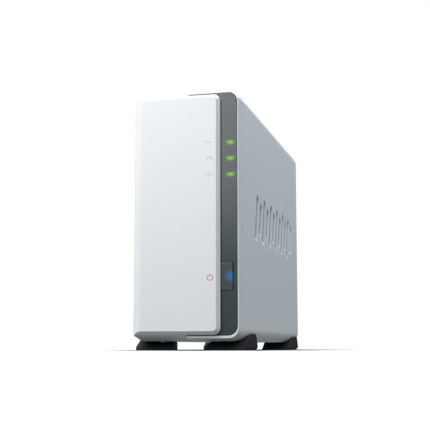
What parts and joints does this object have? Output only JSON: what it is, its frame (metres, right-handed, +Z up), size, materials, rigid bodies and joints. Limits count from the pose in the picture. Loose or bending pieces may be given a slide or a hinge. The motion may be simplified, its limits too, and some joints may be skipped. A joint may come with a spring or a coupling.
{
  "type": "nas enclosure",
  "caption": "Slim upright desktop network storage enclosure: two-part moulded case, front lights and power button, rear fan and sockets, empty drive bay.",
  "frame": {"origin": "middle of the footprint, on the floor under the feet", "axes": "+Z up, +Y to the rear, front plate faces -Y, the removable cover is on +X"},
  "size_m": [0.071, 0.224, 0.166],
  "materials": {
    "white_shell_plastic": "satin moulded",
    "dark_bezel_plastic": "fine matt moulded",
    "black_plastic": "matt moulded",
    "circuit_board": "solder mask over glass laminate",
    "chip_resin": "moulded resin",
    "heatsink_aluminium": "extruded",
    "galvanised_sheet": "zinc coated sheet",
    "zinc_screw": "zinc plated",
    "green_light_pipe": "lit clear moulding",
    "blue_light_pipe": "lit clear moulding",
    "white_cable_pvc": "smooth",
    "battery_steel": "polished",
    "port_shell_steel": "nickel plated sheet",
    "foot_rubber": "matt"
  },
  "bodies": {
    "chassis": {"left_shell": "white_shell_plastic", "front_bezel": "dark_bezel_plastic", "indicator_light_pipe": "green_light_pipe", "power_switch": "chip_resin", "front_board": "circuit_board", "disk_led": "green_light_pipe", "network_led": "green_light_pipe", "status_led": "green_light_pipe", "power_led": "blue_light_pipe", "front_board_screw_1": "zinc_screw", "front_board_screw_2": "zinc_screw", "ribbon_cable": "white_cable_pvc", "main_board": "circuit_board", "cpu_chip": "chip_resin", "heatsink": "heatsink_aluminium", "memory_chip_1": "chip_resin", "memory_chip_2": "chip_resin", "capacitor_1": "heatsink_aluminium", "capacitor_2": "heatsink_aluminium", "clock_battery": "battery_steel", "buzzer": "black_plastic", "board_screw_1": "zinc_screw", "board_screw_2": "zinc_screw", "board_screw_3": "zinc_screw", "riser_slot": "black_plastic", "sata_riser_board": "circuit_board", "sata_connector": "black_plastic", "drive_bracket": "galvanised_sheet", "bracket_screw_1": "zinc_screw", "bracket_screw_2": "zinc_screw", "bracket_screw_3": "zinc_screw", "bracket_screw_4": "zinc_screw", "rear_panel": "dark_bezel_plastic", "usb_port_lower": "port_shell_steel", "usb_port_upper": "port_shell_steel", "lan_port": "port_shell_steel", "dc_inlet": "black_plastic", "reset_switch": "chip_resin", "fan_frame": "black_plastic", "fan_cable": "white_cable_pvc", "fan_screw_1": "zinc_screw", "fan_screw_2": "zinc_screw", "fan_screw_3": "zinc_screw", "fan_screw_4": "zinc_screw", "rear_panel_screw_1": "zinc_screw", "rear_panel_screw_2": "zinc_screw", "cover_screw_1": "zinc_screw", "cover_screw_2": "zinc_screw", "foot_front_left": "foot_rubber", "foot_rear_left": "foot_rubber"},
    "power_button": {"power_button": "dark_bezel_plastic", "power_light_pipe": "blue_light_pipe", "switch_plunger": "black_plastic"},
    "reset_button": {"reset_button": "black_plastic"},
    "fan": {"fan_rotor": "black_plastic", "fan_shaft": "zinc_screw"},
    "cover": {"right_shell": "white_shell_plastic", "foot_front_right": "foot_rubber", "foot_rear_right": "foot_rubber"}
  },
  "joints": [
    {"name": "cover_slide", "type": "slide", "parent": "chassis", "child": "cover", "axis": [1, 0, 0], "range_m": [0, 0.08]},
    {"name": "power_button_press", "type": "slide", "parent": "chassis", "child": "power_button", "axis": [0, 1, 0], "range_m": [0, 0.0008], "stiffness_N_per_m": 2000, "springref_m": -0.0004},
    {"name": "reset_button_press", "type": "slide", "parent": "chassis", "child": "reset_button", "axis": [0, -1, 0], "range_m": [0, 0.0005], "stiffness_N_per_m": 2000, "springref_m": -0.0003},
    {"name": "fan_spin", "type": "hinge", "parent": "chassis", "child": "fan", "pos_m": [-0.0015, 0.1, 0.125], "axis": [0, 1, 0], "continuous": true}
  ]
}
